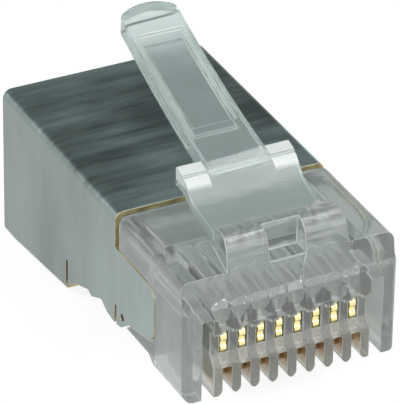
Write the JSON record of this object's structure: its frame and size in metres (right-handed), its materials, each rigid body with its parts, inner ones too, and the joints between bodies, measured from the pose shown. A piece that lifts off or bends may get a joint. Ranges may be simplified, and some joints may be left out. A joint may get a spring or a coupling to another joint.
{
  "type": "shielded modular plug",
  "caption": "Clear modular network plug with a folded metal shield, a comb of gold contact blades, a rear cable entry and a springy latch that locks it in a jack.",
  "frame": {"origin": "under the middle of the bounding box, level with the lowest line of the shield at the cable end", "axes": "+X towards the mating nose, +Y across the width, +Z towards the latch side"},
  "size_m": [0.0216, 0.0116, 0.0146],
  "materials": {
    "clear_polycarbonate": "clear, lightly grey, glossy",
    "nickel_plated_sheet": "satin nickel plate with a fine grain across the width",
    "gold_plated_blade": "polished gold plate"
  },
  "bodies": {
    "plug": {"housing": "clear_polycarbonate", "shield": "nickel_plated_sheet", "contact_1": "gold_plated_blade", "contact_2": "gold_plated_blade", "contact_3": "gold_plated_blade", "contact_4": "gold_plated_blade", "contact_5": "gold_plated_blade", "contact_6": "gold_plated_blade", "contact_7": "gold_plated_blade", "contact_8": "gold_plated_blade"},
    "latch": {"latch": "clear_polycarbonate"}
  },
  "joints": [
    {"name": "latch_flex", "type": "hinge", "parent": "plug", "child": "latch", "pos_m": [0.00748, 0, 0.00922], "axis": [0, -1, 0], "range_deg": [0, 18], "stiffness_Nm_per_rad": 0.1}
  ]
}
